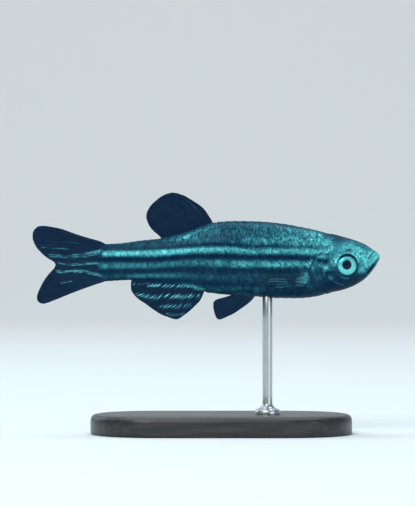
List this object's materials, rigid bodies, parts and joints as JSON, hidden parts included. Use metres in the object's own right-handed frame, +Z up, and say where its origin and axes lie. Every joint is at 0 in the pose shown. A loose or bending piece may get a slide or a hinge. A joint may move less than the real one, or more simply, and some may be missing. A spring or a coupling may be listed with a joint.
{
  "type": "zebra danio model",
  "caption": "Life-size still model of a striped zebra danio, a small freshwater fish with a forked tail and short barbels, held level over a plain flat display stand by one rod.",
  "frame": {"origin": "on the underside of the stand's base, below the middle of the fish's length", "axes": "+X towards the snout, +Y towards the fish's left side, +Z up"},
  "size_m": [0.045, 0.017, 0.0314],
  "materials": {
    "skin": "smooth wet-looking skin with silvery scales, dark navy and pale lengthwise stripes",
    "fin": "thin translucent fin membrane with fine rays, dark with pale broken stripes",
    "clear_fin": "thin nearly clear fin membrane with fine rays",
    "eye": "glossy eye, silvery ring round a black pupil",
    "barbel": "smooth soft feeler",
    "stand_base": "black-stained fine-grained wood, satin lacquer",
    "stand_rod": "satin steel"
  },
  "bodies": {
    "root": {"head": "skin", "lower_jaw": "skin", "gill_cover_right": "skin", "gill_cover_left": "skin", "trunk": "skin", "tail": "skin", "eye_right": "eye", "eye_left": "eye", "dorsal_fin": "fin", "anal_fin": "fin", "tail_fin_upper": "fin", "tail_fin_lower": "fin", "pelvic_fin_right": "fin", "pelvic_fin_left": "fin", "pectoral_fin_right": "clear_fin", "pectoral_fin_left": "clear_fin", "barbel_lip_right": "barbel", "barbel_lip_left": "barbel", "barbel_mouth_right": "barbel", "barbel_mouth_left": "barbel", "stand_base": "stand_base", "stand_rod": "stand_rod"}
  },
  "joints": []
}
